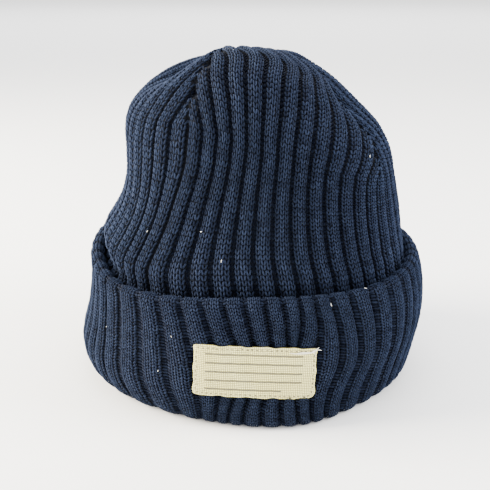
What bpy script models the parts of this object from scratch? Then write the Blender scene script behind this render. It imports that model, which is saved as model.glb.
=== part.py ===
"""Knit cap: a rib-knit watch cap with a turned-up cuff and a woven label on its front.

Blender 4.5, metres, +Z up. The cap stands on its hem, with the origin on the floor under
its middle. The front, where the label is, faces -Y, and +X is the viewer's right.

The knit is one ribbed wall. Its ribs run from the hem to the top of the crown, where four
darts take them out in pairs. The cuff is the same cloth, folded double and turned up.
"""
import math
from typing import NamedTuple

import bmesh
import bpy
from mathutils import Vector

# Whole cap, measured over the ribs
CAP_HEIGHT = 0.188
HEM_WIDTH = 0.194
HEM_DEPTH = 0.196
CROWN_WIDTH = 0.152
CROWN_DEPTH = 0.164

# Ribs, the same count on the crown and on the cuff
PANELS = 4
RIBS_PER_PANEL = 13
RIB_DEPTH = 0.0026
KNIT_WALL = 0.0022
PANEL_TURN = math.radians(6.5)

# Cuff
CUFF_HEIGHT = 0.068
CUFF_THICKNESS = 0.0062
FOLD_ROUND = 0.0030
HEM_FOLD = 0.0055
HEM_ROUND = 0.0042
INNER_ROUND = 0.0018

# Crown
DART_START = 0.38
DART_CREASE = 6
ROW_TILT = 0.13
ROW_TILT_ANGLE = math.radians(78)
TWIST_ANGLE = math.radians(10)
SQUEEZE = 0.14
SQUEEZE_SHARE = 0.30
RINGS_BELOW_DARTS = 5

# Label
LABEL_WIDTH = 0.064
LABEL_HEIGHT = 0.0285
LABEL_THICKNESS = 0.0009
LABEL_CORNER = 0.0024
LABEL_ABOVE_FLOOR = 0.0175
LABEL_TO_RIGHT = 0.0015
LABEL_COLUMNS = 12
LABEL_ROWS = 3

# Gap left between pieces that touch
CLOTH_GAP = 0.0003

# Finishes
KNIT_COLOUR = (0.024, 0.036, 0.067)
KNIT_ROUGHNESS = 0.95
LABEL_COLOUR = (0.70, 0.67, 0.50)
LABEL_ROUGHNESS = 0.85


class RibPoint(NamedTuple):
    """One point of a rib's cross-section."""
    place: float    # from the rib's middle, in rib widths
    sink: float     # share of RIB_DEPTH below the rib's crest


OUTSIDE_RIB = (RibPoint(-0.5, 1.0), RibPoint(-0.3, 0.22), RibPoint(0.0, 0.0), RibPoint(0.3, 0.22))
INSIDE_RIB = (RibPoint(-0.5, 1.0), RibPoint(0.0, 0.0))


class Reach(NamedTuple):
    """A level outline of the cuff. Reaches are shares of half the hem's width or depth."""
    rise: float         # share of the fold's height
    left: float
    right: float
    front: float
    back: float
    squareness: float   # exponent of the outline, 2 for an ellipse


CUFF_REACHES = (
    Reach(0.00, 0.955, 0.955, 0.945, 0.975, 2.00),
    Reach(0.12, 1.015, 0.985, 0.975, 1.005, 2.08),
    Reach(0.30, 1.036, 1.010, 0.985, 1.015, 2.20),
    Reach(0.55, 0.988, 1.040, 0.985, 1.015, 2.30),
    Reach(0.80, 0.960, 1.038, 0.968, 1.005, 2.35),
    Reach(1.00, 0.962, 1.005, 0.940, 0.995, 2.40),
)


class Bulge(NamedTuple):
    """A place where the cloth stands out from its plain outline, or lies in where out is under 0."""
    angle: float        # from the front, towards the viewer's right
    spread: float
    place: float        # share of the fold's height on the cuff, or of the crown's cloth
    place_spread: float
    out: float          # share of half the hem's width, or half the crown's


CUFF_BULGES = (
    Bulge(math.radians(12), math.radians(21), 0.00, 0.22, 0.068),
    Bulge(math.radians(-18), math.radians(10), 0.50, 0.40, 0.020),
    Bulge(math.radians(20), math.radians(10), 0.50, 0.40, 0.020),
)

CROWN_BULGES = (
    Bulge(math.radians(-60), math.radians(32), 0.75, 0.14, -0.130),
    Bulge(math.radians(-20), math.radians(14), 0.70, 0.10, 0.030),
    Bulge(math.radians(38), math.radians(24), 0.64, 0.14, -0.030),
    Bulge(math.radians(60), math.radians(20), 0.52, 0.10, -0.030),
    Bulge(math.radians(80), math.radians(40), 0.14, 0.10, 0.030),
)


class Section(NamedTuple):
    """An outline of the crown. Reaches are shares of half the crown's width or depth."""
    share: float        # of the cloth's way from the cuff's fold to the top
    front_rise: float   # share of the height from the fold to the cap's highest point
    side_rise: float
    back_rise: float
    left: float
    right: float
    front: float
    back: float
    squareness: float
    dart: float         # how far the darts sink, as a share of the reach
    flare: float        # 1 where the crown follows the inside of the cuff
    twist: float        # how far the ribs have turned towards the viewer's right, in panels
    lean: float         # how much further each panel's middle ribs have turned, in panels


CROWN_SECTIONS = (
    Section(0.00, 0.000, 0.000, 0.000, 1.110, 1.080, 1.000, 1.050, 2.40, 0.000, 1.00, 0.000, 0.053),
    Section(0.05, 0.090, 0.080, 0.065, 1.105, 1.080, 0.993, 1.049, 2.35, 0.000, 0.50, 0.000, 0.053),
    Section(0.10, 0.175, 0.150, 0.140, 1.043, 1.089, 0.982, 1.049, 2.30, 0.000, 0.20, 0.000, 0.035),
    Section(0.16, 0.270, 0.235, 0.230, 0.984, 1.088, 0.966, 1.055, 2.25, 0.000, 0.05, 0.000, 0.020),
    Section(0.24, 0.405, 0.353, 0.350, 0.942, 1.082, 0.945, 1.060, 2.20, 0.000, 0.00, 0.020, -0.005),
    Section(0.33, 0.555, 0.490, 0.477, 0.936, 1.053, 0.920, 1.060, 2.15, 0.000, 0.00, 0.090, -0.055),
    Section(0.40, 0.670, 0.595, 0.571, 0.942, 0.980, 0.878, 1.037, 2.10, 0.012, 0.00, 0.128, -0.055),
    Section(0.48, 0.795, 0.680, 0.666, 0.921, 0.868, 0.774, 1.000, 2.05, 0.030, 0.00, 0.155, -0.020),
    Section(0.56, 0.913, 0.755, 0.743, 0.855, 0.750, 0.634, 0.945, 2.00, 0.045, 0.00, 0.180, 0.020),
    Section(0.64, 0.983, 0.826, 0.811, 0.750, 0.630, 0.439, 0.878, 2.00, 0.055, 0.00, 0.250, 0.030),
    Section(0.72, 1.000, 0.884, 0.863, 0.605, 0.500, 0.238, 0.793, 2.00, 0.060, 0.00, 0.270, 0.020),
    Section(0.80, 0.988, 0.924, 0.900, 0.400, 0.400, 0.037, 0.695, 2.00, 0.060, 0.00, 0.220, 0.000),
    Section(0.88, 0.975, 0.946, 0.927, 0.190, 0.300, -0.116, 0.567, 2.00, 0.060, 0.00, 0.150, 0.000),
    Section(0.95, 0.963, 0.952, 0.944, 0.000, 0.200, -0.232, 0.427, 2.00, 0.045, 0.00, 0.100, 0.000),
    Section(1.00, 0.954, 0.954, 0.954, -0.130, 0.130, -0.317, 0.317, 2.00, 0.000, 0.00, 0.100, 0.000),
)


class FoldPoint(NamedTuple):
    """How high the cuff's fold stands at one place round the cap."""
    turn: float     # share of a full turn from the front, towards the viewer's right
    height: float   # share of CUFF_HEIGHT


FOLD_POINTS = (
    FoldPoint(-0.125, 0.985),
    FoldPoint(0.000, 1.000),
    FoldPoint(0.125, 1.015),
    FoldPoint(0.250, 1.085),
    FoldPoint(0.500, 1.050),
    FoldPoint(0.750, 1.130),
    FoldPoint(0.875, 0.985),
    FoldPoint(1.000, 1.000),
    FoldPoint(1.125, 1.015),
)


class Pull(NamedTuple):
    """A place where the stiff label and the fold drag the cuff's ribs sideways."""
    angle: float        # where it is strongest
    spread: float
    rise: float         # share of the fold's height
    rise_spread: float
    shift: float        # in rib widths, towards the viewer's right


PULLS = (
    Pull(math.radians(-52), math.radians(10), 0.80, 0.40, -0.40),
    Pull(math.radians(-22), math.radians(16), 0.30, 0.50, 0.87),
    Pull(math.radians(18), math.radians(6), 0.60, 0.20, -0.34),
    Pull(math.radians(34), math.radians(20), 1.00, 0.55, -0.94),
    Pull(math.radians(-32), math.radians(16), 0.05, 0.30, 0.80),
    Pull(math.radians(34), math.radians(16), 0.05, 0.30, -0.90),
    Pull(math.radians(95), math.radians(42), 0.60, 3.00, -1.60),
    Pull(math.radians(-8), math.radians(15), 0.45, 0.25, 0.60),
    Pull(math.radians(22), math.radians(7), 0.45, 0.25, -0.30),
)


class Station(NamedTuple):
    """A vertex of a ring and its place across the ribs of its panel."""
    panel: int
    place: float
    vertex: bmesh.types.BMVert


class Ring(NamedTuple):
    """A closed row of vertices that crosses the ribs."""
    half_width: float   # of each panel, in ribs
    stations: list


def read_table(table, place):
    """Return the table's row at a place in its first column, eased between its rows."""
    last = len(table) - 1
    index = max(i for i in range(last) if i == 0 or table[i][0] <= place)
    low, high = table[index], table[index + 1]
    before, after = table[max(index - 1, 0)], table[min(index + 2, last)]
    span = high[0] - low[0]
    t = min(max((place - low[0]) / span, 0.0), 1.0)
    values = [low[0] + t * span]
    for column in range(1, len(low)):
        slope_low = (high[column] - before[column]) / (high[0] - before[0]) * span
        slope_high = (after[column] - low[column]) / (after[0] - low[0]) * span
        values.append((2 * t ** 3 - 3 * t ** 2 + 1) * low[column]
                      + (t ** 3 - 2 * t ** 2 + t) * slope_low
                      + (3 * t ** 2 - 2 * t ** 3) * high[column]
                      + (t ** 3 - t ** 2) * slope_high)
    return type(low)(*values)


def outline(angle, row, width, depth, sink=0.0):
    """Return the point of a level outline at an angle from the front, sunk by a share."""
    across = (row.left + row.right) / 2 * width / 2
    along = (row.front + row.back) / 2 * depth / 2
    middle = Vector(((row.right - row.left) * width / 4, (row.back - row.front) * depth / 4))
    if min(across, along) <= 0.0:
        return middle
    power = row.squareness
    stretch = (abs(math.sin(angle) / across) ** power
               + abs(math.cos(angle) / along) ** power) ** (-1 / power)
    return middle + stretch * (1 - sink) * Vector((math.sin(angle), -math.cos(angle)))


def fold_height(angle):
    """Return the height of the cuff's fold at an angle from the front."""
    return CUFF_HEIGHT * read_table(FOLD_POINTS, angle / math.tau % 1.0).height


def bulging(bulges, angle, place):
    """Return how far the bulges push the cloth out, as a share of half its width."""
    out = 0.0
    for bulge in bulges:
        away = math.remainder(angle - bulge.angle, math.tau) / bulge.spread
        above = (place - bulge.place) / bulge.place_spread
        out += bulge.out * math.exp(-away ** 2 - above ** 2)
    return out


def on_cuff(angle, height, inward=0.0):
    """Return the point at a height over the cuff's ribs, or further in towards the axis."""
    rise = height / fold_height(angle)
    flat = outline(angle, read_table(CUFF_REACHES, rise), HEM_WIDTH, HEM_DEPTH)
    out = bulging(CUFF_BULGES, angle, rise) * HEM_WIDTH / 2 - inward
    flat += flat.normalized() * out
    return Vector((flat.x, flat.y, height))


def crown_turn(angle, row):
    """Return where a crown rib stands in a row of the table, and its place across its panel.

    SQUEEZE is the share by which the ribs draw together at the front and the back, from
    SQUEEZE_SHARE of the cloth's way up.
    """
    across = ((angle - PANEL_TURN) * PANELS / math.tau + 0.5) % 1.0 * 2 - 1
    in_front = ((1 + math.cos(angle - TWIST_ANGLE)) / 2) ** 2
    shift = in_front * (row.twist + row.lean * (1 - across ** 2))
    climbed = min(max(row.share / SQUEEZE_SHARE, 0.0), 1.0)
    squeeze = SQUEEZE * climbed ** 2 * (3 - 2 * climbed)
    return angle + shift * math.tau / PANELS - squeeze / 2 * math.sin(2 * angle), across


def over_crown(share, angle):
    """Return the point over the crown's ribs, at a share of its cloth from the fold up."""
    tilt = ROW_TILT * math.sin(math.pi * share) ** 2 * math.cos(angle - ROW_TILT_ANGLE)
    share -= tilt
    row = read_table(CROWN_SECTIONS, share)
    angle, across_panel = crown_turn(angle, row)
    flat = outline(angle, row, CROWN_WIDTH, CROWN_DEPTH, row.dart * across_panel ** DART_CREASE)
    fold = fold_height(angle)
    inside = on_cuff(angle, fold, CUFF_THICKNESS + CLOTH_GAP)
    flat = flat.lerp(inside.xy, row.flare)
    towards_end = math.cos(angle) ** 2
    end_rise = row.front_rise if math.cos(angle) > 0 else row.back_rise
    rise = row.side_rise + towards_end * (end_rise - row.side_rise)
    above = Vector((flat.x, flat.y, rise * (CAP_HEIGHT - fold)))
    above += above.normalized() * bulging(CROWN_BULGES, angle, share) * CROWN_WIDTH / 2
    return above + Vector((0, 0, fold))


def on_crown(share, angle, inward):
    """Return the point that lies inward from the crown's surface, square to it."""
    step = 1e-3
    along = over_crown(share + step, angle) - over_crown(share - step, angle)
    around = over_crown(share, angle + step) - over_crown(share, angle - step)
    return over_crown(share, angle) - around.cross(along).normalized() * inward


def cuff_turn(angle, height):
    """Return where a cuff rib stands at a height, dragged by the pulls."""
    turned = angle
    for pull in PULLS:
        away = math.remainder(angle - pull.angle, math.tau) / pull.spread
        above = (height / fold_height(angle) - pull.rise) / pull.rise_spread
        shift = pull.shift * math.exp(-away ** 2 - above ** 2)
        turned += shift * math.tau / (PANELS * RIBS_PER_PANEL)
    return turned


def add_ring(bm, half_width, rib_points, place_point):
    """Add a ring whose panels reach half_width ribs from their middles to the darts.

    Each vertex is placed by place_point(angle, sink), with the sink a share of RIB_DEPTH.
    """
    stations = []
    for panel in range(PANELS):
        points = [(-half_width, 1.0)]
        for rib in range(RIBS_PER_PANEL):
            for point in rib_points:
                place = rib - (RIBS_PER_PANEL - 1) / 2 + point.place
                if -half_width < place < half_width:
                    points.append((place, point.sink))
        for place, sink in points:
            angle = PANEL_TURN + (panel + place / (2 * half_width)) * math.tau / PANELS
            stations.append(Station(panel, place, bm.verts.new(place_point(angle, sink))))
    return Ring(half_width, stations)


def bridge(bm, low, high):
    """Join two rings rib by rib. Ribs that the narrower ring lacks run out into its darts."""
    limit = min(low.half_width, high.half_width)

    def keys(ring):
        places = [max(-limit, min(limit, station.place)) for station in ring.stations]
        return [station.panel + 0.5 + place / (2 * limit)
                for station, place in zip(ring.stations, places)] + [PANELS, math.inf]

    low_keys, high_keys = keys(low), keys(high)
    low_verts = [station.vertex for station in low.stations] + [low.stations[0].vertex]
    high_verts = [station.vertex for station in high.stations] + [high.stations[0].vertex]
    i = j = 0
    while i < len(low.stations) or j < len(high.stations):
        if low_keys[i + 1] == high_keys[j + 1]:
            bm.faces.new((low_verts[i], low_verts[i + 1], high_verts[j + 1], high_verts[j]))
            i, j = i + 1, j + 1
        elif low_keys[i + 1] < high_keys[j + 1]:
            bm.faces.new((low_verts[i], low_verts[i + 1], high_verts[j]))
            i += 1
        else:
            bm.faces.new((low_verts[i], high_verts[j + 1], high_verts[j]))
            j += 1


def close_top(bm, ring, point):
    """Close a ring with a fan of triangles round a point."""
    top = bm.verts.new(point)
    vertices = [station.vertex for station in ring.stations]
    for here, there in zip(vertices, vertices[1:] + vertices[:1]):
        bm.faces.new((here, there, top))


def up_the_cuff(share):
    """Return a height as a function of the angle: a share of the way from hem to fold."""
    return lambda angle: HEM_FOLD + share * (fold_height(angle) - FOLD_ROUND - HEM_FOLD)


def crown_rows():
    """Return the crown's rows over the cuff: a share of its cloth, and a half panel in ribs.

    Above the start of the darts there is one row where each pair of ribs ends in them.
    """
    full = RIBS_PER_PANEL / 2
    rows = [(DART_START * row / RINGS_BELOW_DARTS, full) for row in range(1, RINGS_BELOW_DARTS + 1)]
    for ended in range(1, math.ceil(full)):
        rows.append((DART_START + (1 - DART_START) * ended / full, full - ended))
    return rows


def make_crown():
    """Model the crown's wall, from the fold under the hem to the top, open below."""
    bm = bmesh.new()
    seat = HEM_FOLD + CLOTH_GAP
    clear = CUFF_THICKNESS + CLOTH_GAP
    hidden = ((lambda angle: seat, INSIDE_RIB), (up_the_cuff(0.5), INSIDE_RIB),
              (up_the_cuff(1.0), None))
    skins = []
    for rib_points, wall in ((OUTSIDE_RIB, 0.0), (INSIDE_RIB, KNIT_WALL)):
        rings = []
        for height_at, plainer_points in hidden:
            rings.append(add_ring(
                bm, RIBS_PER_PANEL / 2, plainer_points or rib_points, lambda angle, sink: on_cuff(
                    crown_turn(angle, CROWN_SECTIONS[0])[0], height_at(angle),
                    clear + wall + sink * RIB_DEPTH)))
        for share, half_width in crown_rows():
            rings.append(add_ring(bm, half_width, rib_points, lambda angle, sink: on_crown(
                share, angle, wall + sink * RIB_DEPTH)))
        for low, high in zip(rings, rings[1:]):
            bridge(bm, low, high)
        close_top(bm, rings[-1], over_crown(1.0, 0.0) - Vector((0, 0, wall)))
        skins.append(rings)
    outside, inside = skins
    bridge(bm, outside[0], inside[0])
    return finish_mesh(bm, "crown", KNIT_COLOUR, KNIT_ROUGHNESS)


def make_cuff():
    """Model the cuff: the turn under the hem, the ribbed outside, the fold and the inside."""
    bm = bmesh.new()
    foot = CUFF_THICKNESS + CLOTH_GAP + RIB_DEPTH + KNIT_WALL
    half_roll = HEM_ROUND * (1 - math.sqrt(0.5))

    def ribbed(height_at, inward=0.0, relief=1.0):
        return add_ring(bm, RIBS_PER_PANEL / 2, OUTSIDE_RIB, lambda angle, sink: on_cuff(
            cuff_turn(angle, height_at(angle)), height_at(angle), inward + relief * sink * RIB_DEPTH))

    def plain(height_at, inward):
        return add_ring(bm, RIBS_PER_PANEL / 2, INSIDE_RIB, lambda angle, sink: on_cuff(
            crown_turn(angle, CROWN_SECTIONS[0])[0], height_at(angle), inward))

    rings = [
        ribbed(lambda angle: 0.0, HEM_ROUND, 0.3),
        ribbed(lambda angle: half_roll, half_roll, 0.8),
        ribbed(up_the_cuff(0.0)),
        ribbed(lambda angle: LABEL_ABOVE_FLOOR),
        ribbed(lambda angle: LABEL_ABOVE_FLOOR + LABEL_HEIGHT),
        ribbed(up_the_cuff(1.0)),
        ribbed(fold_height, CUFF_THICKNESS / 2, 0.3),
        plain(up_the_cuff(1.0), CUFF_THICKNESS),
        plain(up_the_cuff(0.5), CUFF_THICKNESS),
        plain(up_the_cuff(0.0), CUFF_THICKNESS),
        plain(up_the_cuff(0.0), foot),
        plain(lambda angle: INNER_ROUND, foot),
        plain(lambda angle: 0.0, foot - INNER_ROUND),
    ]
    for low, high in zip(rings, rings[1:] + rings[:1]):
        bridge(bm, low, high)
    return finish_mesh(bm, "cuff", KNIT_COLOUR, KNIT_ROUGHNESS)


def under_label(angle, up):
    """Return the point over the ribs in the label's band, which is straight from edge to edge."""
    low = on_cuff(angle, LABEL_ABOVE_FLOOR)
    return low.lerp(on_cuff(angle, LABEL_ABOVE_FLOOR + LABEL_HEIGHT), up / LABEL_HEIGHT)


def along_front(across, up):
    """Return the angle of the point that lies this far along the cuff's front."""
    radius = HEM_WIDTH / 2
    angle = across / radius
    for _ in range(3):
        angle += math.sin(across / radius) - under_label(angle, up).x / radius
    return angle


def make_label():
    """Model the woven label, laid over the ribs on the front of the cuff."""
    bm = bmesh.new()
    bmesh.ops.create_grid(bm, x_segments=LABEL_COLUMNS, y_segments=LABEL_ROWS, size=0.5)
    bmesh.ops.scale(bm, vec=(LABEL_WIDTH, LABEL_HEIGHT, 1.0), verts=bm.verts)
    corners = [vertex for vertex in bm.verts if len(vertex.link_faces) == 1]
    bmesh.ops.bevel(bm, geom=corners, offset=LABEL_CORNER, segments=2, profile=0.5,
                    affect="VERTICES", material=-1)
    back = bm.faces[:]
    front = bmesh.ops.extrude_face_region(bm, geom=back, use_keep_orig=True)["geom"]
    lifted = [item for item in front if isinstance(item, bmesh.types.BMVert)]
    bmesh.ops.translate(bm, vec=(0, 0, LABEL_THICKNESS), verts=lifted)
    for vertex in bm.verts:
        across, out = vertex.co.x, CLOTH_GAP + vertex.co.z
        up = LABEL_HEIGHT / 2 + vertex.co.y
        angle = along_front(LABEL_TO_RIGHT + across, up)
        point = under_label(angle, up)
        vertex.co = point + Vector((math.sin(angle), -math.cos(angle), 0.0)) * out
    return finish_mesh(bm, "label", LABEL_COLOUR, LABEL_ROUGHNESS)


def cloth(name, colour, roughness):
    """Return a plain cloth material."""
    material = bpy.data.materials.new(name)
    material.use_nodes = True
    shader = material.node_tree.nodes["Principled BSDF"]
    shader.inputs["Base Color"].default_value = (*colour, 1.0)
    shader.inputs["Roughness"].default_value = roughness
    shader.inputs["Metallic"].default_value = 0.0
    return material


def finish_mesh(bm, name, colour, roughness):
    """Turn a finished bmesh into a named object with its own material.

    On a thin bent wall the faces can all come out turned inwards, which a volume below zero
    tells, so they are then reversed.
    """
    bmesh.ops.recalc_face_normals(bm, faces=bm.faces)
    if bm.calc_volume(signed=True) < 0.0:
        bmesh.ops.reverse_faces(bm, faces=bm.faces)
    mesh = bpy.data.meshes.new(name)
    bm.to_mesh(mesh)
    bm.free()
    mesh.shade_smooth()
    mesh.set_sharp_from_angle(angle=math.radians(60))
    mesh.materials.append(cloth(name + "_cloth", colour, roughness))
    piece = bpy.data.objects.new(name, mesh)
    bpy.context.scene.collection.objects.link(piece)
    return piece


def stand_on_origin(pieces):
    """Hang the pieces on one empty and move it, so the cap's middle is over the origin."""
    points = [vertex.co for piece in pieces for vertex in piece.data.vertices]
    middle_x = (min(point.x for point in points) + max(point.x for point in points)) / 2
    middle_y = (min(point.y for point in points) + max(point.y for point in points)) / 2
    holder = bpy.data.objects.new("cap_middle", None)
    bpy.context.scene.collection.objects.link(holder)
    holder.location = (-middle_x, -middle_y, 0.0)
    for piece in pieces:
        piece.parent = holder


def main():
    """Clear the scene and build the cap."""
    for item in list(bpy.data.objects):
        bpy.data.objects.remove(item, do_unlink=True)
    stand_on_origin([make_crown(), make_cuff(), make_label()])
    bpy.context.view_layer.update()


main()
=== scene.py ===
"""Knit cap: the stitches, cloth and label of a navy rib-knit watch cap, dressed for its picture.

Blender 4.5, metres, +Z up. The cap stands on its hem with its front towards -Y. The knit is
modelled stitch by stitch on the form of the cap's solids: three knit wales on each rib, two
purl wales in each groove, and a ribbed cloth behind them that closes the wall.
"""
import logging
import math
from dataclasses import dataclass
from enum import Enum
from functools import partial
from typing import Callable, NamedTuple, Sequence

import bmesh
import bpy
import numpy as np
from mathutils import Matrix, Vector
from mathutils.bvhtree import BVHTree


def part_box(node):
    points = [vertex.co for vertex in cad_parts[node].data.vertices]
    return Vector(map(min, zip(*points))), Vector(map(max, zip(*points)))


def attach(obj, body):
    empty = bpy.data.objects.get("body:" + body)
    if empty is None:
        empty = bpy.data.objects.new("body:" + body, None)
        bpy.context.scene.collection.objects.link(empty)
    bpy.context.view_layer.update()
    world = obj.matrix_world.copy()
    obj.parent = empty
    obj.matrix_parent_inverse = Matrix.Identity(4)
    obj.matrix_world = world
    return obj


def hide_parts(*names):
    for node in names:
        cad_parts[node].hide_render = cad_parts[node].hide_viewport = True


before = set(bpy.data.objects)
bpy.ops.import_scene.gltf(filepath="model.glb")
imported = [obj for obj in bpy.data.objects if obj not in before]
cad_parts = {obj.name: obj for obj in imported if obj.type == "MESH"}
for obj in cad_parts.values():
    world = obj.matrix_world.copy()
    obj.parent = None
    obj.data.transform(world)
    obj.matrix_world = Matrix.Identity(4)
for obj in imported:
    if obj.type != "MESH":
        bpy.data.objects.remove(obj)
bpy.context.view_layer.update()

LOG = logging.getLogger("knit_cap")
BODY = "root"
MILLIMETRE = 0.001
WALES_PER_RIB = 5

Array = np.ndarray
Piece = bpy.types.Object
Outputs = bpy.types.bpy_prop_collection


def in_radians(kind: type, rows: Sequence[tuple[float, ...]]) -> tuple[NamedTuple, ...]:
    """Return rows of a kind from plain ones, whose angle and spread are given in degrees."""
    return tuple(kind(math.radians(angle), math.radians(spread), *rest)
                 for angle, spread, *rest in rows)


class Reach(NamedTuple):
    """A level outline of the cuff. Reaches are shares of half the hem's width or depth."""
    rise: float
    left: float
    right: float
    front: float
    back: float
    squareness: float


CUFF_REACHES = (
    Reach(0.00, 0.955, 0.955, 0.945, 0.975, 2.00),
    Reach(0.12, 1.015, 0.985, 0.975, 1.005, 2.08),
    Reach(0.30, 1.036, 1.010, 0.985, 1.015, 2.20),
    Reach(0.55, 0.988, 1.040, 0.985, 1.015, 2.30),
    Reach(0.80, 0.960, 1.038, 0.968, 1.005, 2.35),
    Reach(1.00, 0.962, 1.005, 0.940, 0.995, 2.40),
)


class Bulge(NamedTuple):
    """A place where the cloth stands out from its plain outline, or lies in where out is under 0."""
    angle: float
    spread: float
    place: float
    place_spread: float
    out: float

CUFF_BULGES = in_radians(Bulge, (
    (12, 21, 0.00, 0.22, 0.068),
    (-18, 10, 0.50, 0.40, 0.020),
    (20, 10, 0.50, 0.40, 0.020),
))

CROWN_BULGES = in_radians(Bulge, (
    (-60, 32, 0.75, 0.14, -0.130),
    (-20, 14, 0.70, 0.10, 0.030),
    (38, 24, 0.64, 0.14, -0.030),
    (60, 20, 0.52, 0.10, -0.030),
    (80, 40, 0.14, 0.10, 0.030),
))


class Section(NamedTuple):
    """An outline of the crown. Reaches are shares of half the crown's width or depth."""
    share: float
    front_rise: float
    side_rise: float
    back_rise: float
    left: float
    right: float
    front: float
    back: float
    squareness: float
    dart: float
    flare: float
    twist: float
    lean: float


CROWN_SECTIONS = (
    Section(0.00, 0.000, 0.000, 0.000, 1.110, 1.080, 1.000, 1.050, 2.40, 0.000, 1.00, 0.000, 0.053),
    Section(0.05, 0.090, 0.080, 0.065, 1.105, 1.080, 0.993, 1.049, 2.35, 0.000, 0.50, 0.000, 0.053),
    Section(0.10, 0.175, 0.150, 0.140, 1.043, 1.089, 0.982, 1.049, 2.30, 0.000, 0.20, 0.000, 0.035),
    Section(0.16, 0.270, 0.235, 0.230, 0.984, 1.088, 0.966, 1.055, 2.25, 0.000, 0.05, 0.000, 0.020),
    Section(0.24, 0.405, 0.353, 0.350, 0.942, 1.082, 0.945, 1.060, 2.20, 0.000, 0.00, 0.020, -0.005),
    Section(0.33, 0.555, 0.490, 0.477, 0.936, 1.053, 0.920, 1.060, 2.15, 0.000, 0.00, 0.090, -0.055),
    Section(0.40, 0.670, 0.595, 0.571, 0.942, 0.980, 0.878, 1.037, 2.10, 0.012, 0.00, 0.128, -0.055),
    Section(0.48, 0.795, 0.680, 0.666, 0.921, 0.868, 0.774, 1.000, 2.05, 0.030, 0.00, 0.155, -0.020),
    Section(0.56, 0.913, 0.755, 0.743, 0.855, 0.750, 0.634, 0.945, 2.00, 0.045, 0.00, 0.180, 0.020),
    Section(0.64, 0.983, 0.826, 0.811, 0.750, 0.630, 0.439, 0.878, 2.00, 0.055, 0.00, 0.250, 0.030),
    Section(0.72, 1.000, 0.884, 0.863, 0.605, 0.500, 0.238, 0.793, 2.00, 0.060, 0.00, 0.270, 0.020),
    Section(0.80, 0.988, 0.924, 0.900, 0.400, 0.400, 0.037, 0.695, 2.00, 0.060, 0.00, 0.220, 0.000),
    Section(0.88, 0.975, 0.946, 0.927, 0.190, 0.300, -0.116, 0.567, 2.00, 0.060, 0.00, 0.150, 0.000),
    Section(0.95, 0.963, 0.952, 0.944, 0.000, 0.200, -0.232, 0.427, 2.00, 0.045, 0.00, 0.100, 0.000),
    Section(1.00, 0.954, 0.954, 0.954, -0.130, 0.130, -0.317, 0.317, 2.00, 0.000, 0.00, 0.100, 0.000),
)


class FoldPoint(NamedTuple):
    """How high the cuff's fold stands at one place round the cap, as a share of its height."""
    turn: float
    height: float


FOLD_POINTS = (
    FoldPoint(-0.125, 0.985),
    FoldPoint(0.000, 1.000),
    FoldPoint(0.125, 1.015),
    FoldPoint(0.250, 1.085),
    FoldPoint(0.500, 1.050),
    FoldPoint(0.750, 1.130),
    FoldPoint(0.875, 0.985),
    FoldPoint(1.000, 1.000),
    FoldPoint(1.125, 1.015),
)


class Pull(NamedTuple):
    """A place where the stiff label and the fold drag the cuff's ribs sideways, in rib widths."""
    angle: float
    spread: float
    rise: float
    rise_spread: float
    shift: float

PULLS = in_radians(Pull, (
    (-52, 10, 0.80, 0.40, -0.40),
    (-22, 16, 0.30, 0.50, 0.87),
    (18, 6, 0.60, 0.20, -0.34),
    (34, 20, 1.00, 0.55, -0.94),
    (-32, 16, 0.05, 0.30, 0.80),
    (34, 16, 0.05, 0.30, -0.90),
    (95, 42, 0.60, 3.00, -1.60),
    (-8, 15, 0.45, 0.25, 0.60),
    (22, 7, 0.45, 0.25, -0.30),
))


class Quarter(Enum):
    """The four panels of the crown, each with its place in the order round the cap."""
    FRONT = 0
    RIGHT = 1
    BACK = 2
    LEFT = 3


class Stitch(Enum):
    """The two faces that a stitch can show."""
    KNIT = "knit"
    PURL = "purl"


def read_table(rows: Sequence[NamedTuple], place: Array) -> NamedTuple:
    """Read a table at many places in its first column, eased between its rows.

    Args:
        rows: the table, sorted by its first column.
        place: where to read it.

    Returns:
        One row of the table's own kind, each field an array as long as place.
    """
    table = np.array(rows)
    last = len(table) - 1
    index = np.clip(np.searchsorted(table[:, 0], place, side="right") - 1, 0, last - 1)
    low, high = table[index], table[index + 1]
    before, after = table[np.maximum(index - 1, 0)], table[np.minimum(index + 2, last)]
    span = high[:, :1] - low[:, :1]
    t = np.clip((place[:, None] - low[:, :1]) / span, 0.0, 1.0)
    slope_low = (high - before) / (high[:, :1] - before[:, :1]) * span
    slope_high = (after - low) / (after[:, :1] - low[:, :1]) * span
    values = ((2 * t ** 3 - 3 * t ** 2 + 1) * low + (t ** 3 - 2 * t ** 2 + t) * slope_low
              + (3 * t ** 2 - 2 * t ** 3) * high + (t ** 3 - t ** 2) * slope_high)
    return type(rows[0])(*values.T)


def outline(angle: Array, row: NamedTuple, width: float, depth: float,
            sink: Array | float = 0.0) -> Array:
    """Find points of a level outline.

    Args:
        angle: from the front, towards the viewer's right.
        row: the outline's reaches and squareness.
        width: the whole width that the reaches are shares of.
        depth: the whole depth that they are shares of.
        sink: how far the points lie in, as a share of the reach.

    Returns:
        The points' X and Y, one row each.
    """
    least = 1e-6
    across = np.maximum((row.left + row.right) / 2 * width / 2, least)
    along = np.maximum((row.front + row.back) / 2 * depth / 2, least)
    power = row.squareness
    stretch = (np.abs(np.sin(angle) / across) ** power
               + np.abs(np.cos(angle) / along) ** power) ** (-1 / power) * (1 - sink)
    return np.stack(((row.right - row.left) * width / 4 + stretch * np.sin(angle),
                     (row.back - row.front) * depth / 4 - stretch * np.cos(angle)), axis=-1)


def turned_from(angle: Array, other: float) -> Array:
    """Return how far each angle lies from another one, between minus and plus half a turn."""
    return np.remainder(angle - other + math.pi, math.tau) - math.pi


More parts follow.
